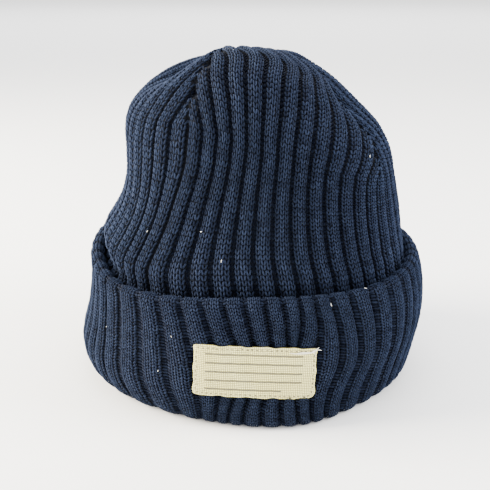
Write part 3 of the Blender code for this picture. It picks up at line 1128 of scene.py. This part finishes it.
@dataclass
class Crown(RibbedCloth):
    """The crown: four panels that narrow to the top."""
    solid: str = "crown"
    seed: int = 7
    rows_under: int = 2
    outer_rows: int = 70
    inner_rows: int = 44
    seat: float = -0.38
    dart_margin: float = 0.3

    def wall(self) -> Piece:
        """Model the wall behind the stitches, closed over the top and open below."""
        form = self.form
        bm = bmesh.new()
        total = self.outer_rows + self.inner_rows
        bmesh.ops.create_uvsphere(bm, u_segments=self.columns, v_segments=total, radius=1.0)
        co = points_of(bm)
        ring = np.arccos(np.clip(co[:, 2], -1, 1)) / math.pi * total
        turn = np.arctan2(co[:, 0], -co[:, 1])
        outside = ring <= self.outer_rows
        down = np.where(outside, ring / self.outer_rows, (total - ring) / (self.inner_rows - 1))
        share = 1 - np.clip(down, 0.0, 1.0) * (1 - self.seat)
        steps = ((turn - form.panel_turn) / math.tau * form.panels + 0.5) % form.panels
        panel = np.floor(steps)
        place = (steps - panel - 0.5) * 2 * form.half_panel(share)
        out = np.where(outside, -self.behind, -form.wall)
        move_points(bm, form.crown_point(share, panel, place, out))
        bmesh.ops.recalc_face_normals(bm, faces=bm.faces)
        add_map(bm, "stitches", steps * form.ribs_per_panel * WALES_PER_RIB,
                share * self.rows, whole=form.ribs * WALES_PER_RIB)
        return finish_piece("crown_wall", bm)

    def carries(self, place: Array, row: Array) -> Array:
        """Return which stitches lie between the darts."""
        half = self.form.half_panel(row / self.rows)
        return np.abs(place) < half - self.knitting.wale * self.dart_margin

    def surface(self, quarter: int, place: Array, row: Array,
                out: Array) -> Array:
        """Find points over a panel, as for any ribbed cloth."""
        panel = np.full_like(place, quarter)
        return self.form.crown_point(row / self.rows, panel, place, out)


@dataclass
class Cuff(RibbedCloth):
    """The cuff: the double cloth turned up round the hem."""
    solid: str = "cuff"
    seed: int = 8
    rows_under: int = 4
    rows_over: int = 6
    face_steps: int = 42
    turn_share: float = 0.97
    depth_inside: float = 0.5

    def profile(self) -> list[tuple[str, float, float]]:
        """List the steps of the cuff's outline, as rows of knit or as heights and depths."""
        form = self.form
        low, high = -self.turn_share * form.hem_rows, self.rows + form.fold_rows
        steps = [("row", value, 0.0) for value in np.linspace(low, high, self.face_steps)]
        steps += [("inside", self.depth_inside, form.cuff_thickness),
                  ("inside", 0.0, form.cuff_thickness), ("inside", 0.0, form.foot),
                  ("level", form.inner_round, form.foot),
                  ("level", 0.0, form.foot - form.inner_round)]
        return steps

    def wall(self) -> Piece:
        """Model the wall behind the stitches, closed all round."""
        form = self.form
        steps = self.profile()
        bm = bmesh.new()
        bmesh.ops.create_grid(bm, x_segments=self.columns, y_segments=len(steps), size=0.5)
        co = points_of(bm)
        column = np.round((co[:, 0] + 0.5) * self.columns)
        step = np.round((co[:, 1] + 0.5) * len(steps)).astype(int) % len(steps)
        rib = column / self.columns * form.ribs
        points = np.zeros_like(co)
        rows = np.full(len(co), -form.hem_rows)
        for number, (kind, value, depth) in enumerate(steps):
            here = step == number
            level = np.full(here.sum(), value)
            if kind == "row":
                rows[here] = value
                points[here] = form.cuff_point(rib[here], level, np.full_like(level, -self.behind))
                continue
            angle = form.panel_turn + rib[here] * math.tau / form.ribs
            turned = form.crown_turn(angle, CROWN_SECTIONS[0])[0]
            climb = form.fold_height(turned) - form.fold_round - form.hem_fold
            height = form.hem_fold + value * climb if kind == "inside" else level
            points[here] = form.on_cuff(turned, height, np.full_like(level, depth)) + form.shift
        move_points(bm, points)
        add_map(bm, "stitches", rib * WALES_PER_RIB, rows)
        bmesh.ops.remove_doubles(bm, verts=bm.verts, dist=1e-6)
        bmesh.ops.recalc_face_normals(bm, faces=bm.faces)
        return finish_piece("cuff_wall", bm)

    def surface(self, quarter: int, place: Array, row: Array,
                out: Array) -> Array:
        """Find points over a quarter of the cuff, as for any ribbed cloth."""
        return self.form.cuff_point(place + quarter * self.form.ribs_per_panel, row, out)


class ThreadEnd(NamedTuple):
    """A thread end on the label, in millimetres from the label's middle."""
    x: float
    y: float
    to_x: float
    to_y: float
    bow: float
    thick: float


THREAD_ENDS = (
    ThreadEnd(17.0, 11.6, 31.5, 12.9, -0.9, 0.28),
    ThreadEnd(20.0, 11.2, 30.5, 11.9, 0.5, 0.22),
    ThreadEnd(27.5, 11.8, 32.6, 14.6, -0.4, 0.26),
    ThreadEnd(29.0, 13.2, 31.0, 9.8, 0.0, 0.24),
    ThreadEnd(30.0, 12.4, 34.0, 12.9, 0.5, 0.20),
)

# The ruled lines, in millimetres from the label's middle: how high each is, and its right end.
RULE_START = -25.5
RULES = ((9.5, 24.5), (4.75, 24.5), (0.0, 24.5), (-4.75, 24.5), (-9.5, 14.0))


@dataclass
class Label:
    """The woven label: a cream tape sewn flat on the cuff's front, bare but for ruled lines."""
    form: CapForm
    width: float = 0.0635
    height: float = 0.0275
    thickness: float = 0.6 * MILLIMETRE
    above_floor: float = 0.01775
    to_right: float = 0.0015
    tilt: float = math.radians(-2.1)
    corner: float = 1.3 * MILLIMETRE
    cut_corner: float = 3.4 * MILLIMETRE
    edge_wave: float = 0.22 * MILLIMETRE
    lift: float = 0.55 * MILLIMETRE
    dip: float = 0.45 * MILLIMETRE
    columns: int = 96
    rows: int = 42
    stitch_inset: float = 1.5 * MILLIMETRE
    stitch_pitch: float = 2.5 * MILLIMETRE
    stitch_length: float = 1.5 * MILLIMETRE
    stitch_width: float = 0.62 * MILLIMETRE
    stitch_flatness: float = 0.8
    stitch_turn: float = 0.10
    stitch_stray: float = 0.12 * MILLIMETRE
    end_height: float = 0.9
    end_climb: float = 0.5
    rule_width: float = 0.52 * MILLIMETRE
    rule_height: float = 0.14 * MILLIMETRE
    edge_band: float = 2.2 * MILLIMETRE
    ripple: float = 0.12 * MILLIMETRE
    ripple_across: float = 1.45 * MILLIMETRE
    ripple_up: float = 9 * MILLIMETRE
    seed: int = 3

    def surface(self, x: Array, y: Array, out: Array) -> Array:
        """Find points over the label.

        Args:
            x: from the label's middle towards the viewer's right.
            y: up from its middle.
            out: out from the cloth that it lies on.

        Returns:
            The points, one row each.
        """
        along = x * math.cos(self.tilt) - y * math.sin(self.tilt)
        up = x * math.sin(self.tilt) + y * math.cos(self.tilt)
        to_edge = np.minimum(self.width / 2 - np.abs(x), self.height / 2 - np.abs(y))
        raised = self.lift - self.dip * (1 - smooth_step(0.0, self.edge_band, to_edge))
        ripple = self.ripple * np.sin(x / self.ripple_across + y / self.ripple_up)
        middle = self.above_floor + self.height / 2
        return self.form.label_point(self.to_right + along, middle + up, out + raised + ripple)

    def shaped(self, x: Array, y: Array) -> tuple[Array, Array]:
        """Round the corners of a plain rectangle and let its edges wander.

        Args:
            x: across the rectangle.
            y: up it.

        Returns:
            The shaped places.
        """
        cut = np.where((x > 0) & (y < 0), self.cut_corner, self.corner)
        a = np.clip((np.abs(x) - self.width / 2 + cut) / cut, 0.0, 1.0)
        b = np.clip((np.abs(y) - self.height / 2 + cut) / cut, 0.0, 1.0)
        long = np.maximum(np.hypot(a, b), 1e-9)
        shrink = np.where((a > 0) & (b > 0), np.maximum(a, b) / long, 1.0)
        new_x = np.sign(x) * (np.abs(x) - a * cut + a * cut * shrink)
        new_y = np.sign(y) * (np.abs(y) - b * cut + b * cut * shrink)
        near_x = np.abs(x) / (self.width / 2)
        near_y = np.abs(y) / (self.height / 2)
        wave_x = np.sin(y / (1.9 * MILLIMETRE) + 1.0) + 0.5 * np.sin(y / (0.9 * MILLIMETRE))
        wave_y = np.sin(x / (2.3 * MILLIMETRE)) + 0.6 * np.sin(x / (1.1 * MILLIMETRE) + 2.0)
        new_x = new_x + self.edge_wave * wave_x * near_x ** 8 * np.sign(x)
        new_y = new_y + self.edge_wave * wave_y * near_y ** 8 * np.sign(y)
        return new_x, new_y

    def lay(self, name: str, bm: bmesh.types.BMesh) -> Piece:
        """Bend a flat mesh over the label and turn it into an object."""
        flat = points_of(bm)
        move_points(bm, self.surface(flat[:, 0], flat[:, 1], flat[:, 2]))
        return finish_piece(name, bm)

    def tape(self) -> Piece:
        """Model the tape."""
        bm = bmesh.new()
        bmesh.ops.create_grid(bm, x_segments=self.columns, y_segments=self.rows, size=0.5)
        bmesh.ops.scale(bm, vec=(self.width, self.height, 1.0), verts=bm.verts)
        thicken(bm, self.thickness)
        flat = points_of(bm)
        add_map(bm, "threads", flat[:, 0], flat[:, 1])
        x, y = self.shaped(flat[:, 0], flat[:, 1])
        move_points(bm, self.surface(x, y, flat[:, 2]))
        piece = finish_piece("label_tape", bm)
        piece.data.set_sharp_from_angle(angle=math.radians(50))
        return piece

    def seam(self) -> list[tuple[float, float, float]]:
        """List the stitches round the label: the middle of each, and its turn in the plane."""
        half_x = self.width / 2 - self.stitch_inset
        half_y = self.height / 2 - self.stitch_inset
        end = 1 * MILLIMETRE
        places = []
        for sign in (-1, 1):
            for x in np.arange(-half_x + end, half_x - end, self.stitch_pitch):
                places.append((x, sign * half_y, 0.0))
            for y in np.arange(-half_y + 2 * end, half_y - end, self.stitch_pitch):
                places.append((sign * half_x, y, math.pi / 2))
        return places

    def sewn(self, name: str, places: Sequence[tuple[float, float, float]]) -> Piece:
        """Model the stitches that lie on the label.

        Args:
            name: the piece's name.
            places: the middle of each stitch, and its turn in the plane.

        Returns:
            The piece.
        """
        draw = np.random.default_rng(self.seed)
        size = Matrix.Diagonal((self.stitch_length, self.stitch_width,
                                self.stitch_width * self.stitch_flatness, 1.0))
        bm = bmesh.new()
        for x, y, turn in places:
            turn = turn + self.stitch_turn * draw.standard_normal()
            x = x + self.stitch_stray * draw.standard_normal()
            y = y + self.stitch_stray * draw.standard_normal()
            made = bmesh.ops.create_uvsphere(bm, u_segments=6, v_segments=6, radius=0.5)
            place = (Matrix.Translation((x, y, self.thickness)) @ Matrix.Rotation(turn, 4, "Z")
                     @ size)
            bmesh.ops.transform(bm, matrix=place, verts=made["verts"])
        return self.lay(name, bm)

    def rules(self) -> Piece:
        """Model the printed ruled lines as thin strips of ink."""
        bm = bmesh.new()
        for y, right in RULES:
            length = (right - RULE_START) * MILLIMETRE
            made = bmesh.ops.create_grid(bm, x_segments=104, y_segments=1, size=0.5)
            middle = ((RULE_START + right) / 2 * MILLIMETRE, y * MILLIMETRE, self.thickness)
            place = Matrix.Translation(middle) @ Matrix.Diagonal((length, self.rule_width, 1.0, 1.0))
            bmesh.ops.transform(bm, matrix=place, verts=made["verts"])
        thicken(bm, self.rule_height)
        return self.lay("label_ruled_lines", bm)

    def loose_ends(self) -> Piece:
        """Model the sewing thread's ends, which lie in a wisp at the top right corner."""
        bm = bmesh.new()
        for end in THREAD_ENDS:
            made = bmesh.ops.create_uvsphere(bm, u_segments=5, v_segments=10, radius=1.0)
            for vertex in made["verts"]:
                across, out, along = vertex.co
                share = (along + 1) / 2
                x = end.x + (end.to_x - end.x) * share
                y = end.y + (end.to_y - end.y) * share + end.bow * (1 - along ** 2)
                z = self.end_height + self.end_climb * share + out * end.thick
                vertex.co = Vector((x, y + across * end.thick, z)) * MILLIMETRE
        return self.lay("label_thread_ends", bm)

    def build(self) -> None:
        """Make the label's pieces."""
        tape = register(self.tape(), LabelFinish().material(), "label")
        seam = self.seam()
        right = self.width / 2 - 2 * self.stitch_inset
        made = (
            (self.sewn("label_stitches", [place for place in seam if place[0] <= right]),
             "cream_sewing_thread", "#57523C", "#857F62"),
            (self.sewn("label_stitches_right", [place for place in seam if place[0] > right]),
             "grey_sewing_thread", "#33322D", "#5F5C4C"),
            (self.rules(), "faded_printing_ink", "#35342D", "#76735F"),
            (self.loose_ends(), "white_sewing_thread", "#D9D7C6", "#F7F5E8"),
        )
        laid = [register(piece, ThreadFinish(name=name, dark=dark, light=light).material())
                for piece, name, dark, light in made]


class Fleck(NamedTuple):
    """A bit of lint, at a point of the 490 by 490 picture."""
    x: float
    y: float
    length: float
    turn: float


FLECKS = (
    Fleck(368, 157, 3.0, 40), Fleck(222, 261, 1.6, 80), Fleck(203, 232, 1.4, 10),
    Fleck(148, 231, 1.5, 60), Fleck(108, 326, 1.5, 30), Fleck(173, 336, 1.2, 120),
    Fleck(158, 370, 1.2, 70), Fleck(329, 305, 2.0, 100), Fleck(365, 291, 1.6, 20),
    Fleck(359, 388, 1.3, 50),
)


@dataclass
class Lint:
    """Bits of pale lint caught on the knit."""
    studio: "Studio"
    thickness: float = 0.40 * MILLIMETRE
    above: float = 1.5 * MILLIMETRE
    bend: float = 0.35

    def build(self, walls: Sequence[Piece]) -> None:
        """Lay each fleck on the cloth that shows at its place.

        Args:
            walls: the cloth that may carry it.
        """
        graph = bpy.context.evaluated_depsgraph_get()
        trees = [BVHTree.FromObject(wall, graph) for wall in walls]
        bm = bmesh.new()
        for fleck in FLECKS:
            start, along = self.studio.sight(fleck.x, fleck.y)
            hits = [tree.ray_cast(start, along) for tree in trees]
            seen = [hit for hit in hits if hit[0] is not None]
            point, normal = min(seen, key=lambda hit: hit[3])[:2]
            if normal.dot(along) > 0:
                normal = -normal
            made = bmesh.ops.create_uvsphere(bm, u_segments=6, v_segments=8, radius=0.5)
            length = fleck.length * MILLIMETRE
            for vertex in made["verts"]:
                x, y, z = vertex.co
                bow = self.bend * (0.25 - x ** 2)
                vertex.co = (x * length, y * self.thickness + bow * length, z * self.thickness)
            turn = normal.to_track_quat("Z", "Y").to_matrix().to_4x4()
            place = (Matrix.Translation(point + normal * self.above) @ turn
                     @ Matrix.Rotation(math.radians(fleck.turn), 4, "Z"))
            bmesh.ops.transform(bm, matrix=place, verts=made["verts"])
        bmesh.ops.recalc_face_normals(bm, faces=bm.faces)
        fluff = ThreadFinish(name="pale_lint", dark="#D5D5CA", light="#F6F5EE").material()
        register(finish_piece("lint", bm), fluff)


class Softbox(NamedTuple):
    """A studio light: where it stands, how wide it is, how strong, its colour and its aim."""
    name: str
    place: tuple[float, float, float]
    size: float
    watts: float
    colour: str = "#FFFFFF"
    aim: tuple[float, float, float] = (0.0, 0.0, 0.08)


SOFTBOXES = (
    Softbox("left_softbox", (-1.25, 0.05, 0.55), 0.9, 128.0, "#FFF6E2"),
    Softbox("right_softbox", (1.3, -0.15, 0.75), 0.9, 40.0),
    Softbox("top_softbox", (0.1, 0.15, 1.6), 1.2, 20.0),
    Softbox("floor_softbox", (0.0, 4.5, 3.0), 5.0, 230.0, aim=(0.0, 5.0, 0.0)),
)


@dataclass
class Studio:
    """The plain floor, the soft light and the camera at the photograph's angle."""
    camera_place: tuple[float, float, float] = (-0.0037, -0.5088, 0.223)
    camera_down: float = math.radians(16.7)
    picture: float = 490.0
    focal: float = 880.0
    sensor: float = 36.0
    floor_radius: float = 14.0
    sky: str = "#FFFFFF"
    sky_strength: float = 1.85

    def sight(self, x: float, y: float) -> tuple[Vector, Vector]:
        """Return the camera's place, and the direction in which it sees a point of the picture."""
        half = self.picture / 2
        along = Vector(((x - half) / self.focal, (half - y) / self.focal, -1.0))
        along.rotate(Matrix.Rotation(math.pi / 2 - self.camera_down, 3, "X"))
        return Vector(self.camera_place), along.normalized()

    def camera(self) -> None:
        """Set up the camera."""
        data = bpy.data.cameras.new("picture_camera")
        data.sensor_width = self.sensor
        data.lens = self.focal / self.picture * self.sensor
        camera = link_object("picture_camera", data)
        camera.location = self.camera_place
        camera.rotation_euler = (math.pi / 2 - self.camera_down, 0.0, 0.0)
        bpy.context.scene.camera = camera

    def floor(self) -> None:
        """Lay the floor."""
        bm = bmesh.new()
        bmesh.ops.create_circle(bm, cap_ends=True, segments=96, radius=self.floor_radius)
        piece = finish_piece("studio_floor", bm)
        board = Finish(name="white_studio_board", light="#FBFBFB", roughness=0.9, specular=0.1)
        piece.data.materials.append(board.material())

    def lights(self) -> None:
        """Set up the softboxes and the even light round them."""
        for box in SOFTBOXES:
            data = bpy.data.lights.new(box.name, "AREA")
            data.shape = "SQUARE"
            data.size = box.size
            data.energy = box.watts
            data.color = linear(box.colour)[:3]
            light = link_object(box.name, data)
            light.location = box.place
            towards = Vector(box.aim) - Vector(box.place)
            light.rotation_euler = towards.to_track_quat("-Z", "Y").to_euler()
        world = bpy.data.worlds.new("studio_light")
        world.use_nodes = True
        background = world.node_tree.nodes["Background"]
        background.inputs["Color"].default_value = linear(self.sky)
        background.inputs["Strength"].default_value = self.sky_strength
        bpy.context.scene.world = world


def main() -> None:
    """Build the cap and its studio."""
    logging.basicConfig(level=logging.INFO, format="%(message)s")
    studio = Studio()
    studio.camera()
    form = placed_form()
    LOG.info("form shifted by %.6f, %.6f", *form.shift[:2])
    wider_knitting = Knitting(form, wale=0.215, purl_wale=0.185, purl_place=0.405)
    yarn = YarnFinish().material()
    reverse = BackClothFinish().material()
    crown = Crown(form, Knitting(form), form.crown_rows).build(yarn, reverse)
    cuff = Cuff(form, wider_knitting, form.cuff_rows).build(yarn, reverse)
    Label(form).build()
    Lint(studio).build([crown, cuff])
    studio.floor()
    studio.lights()


if __name__ == "__main__":
    main()
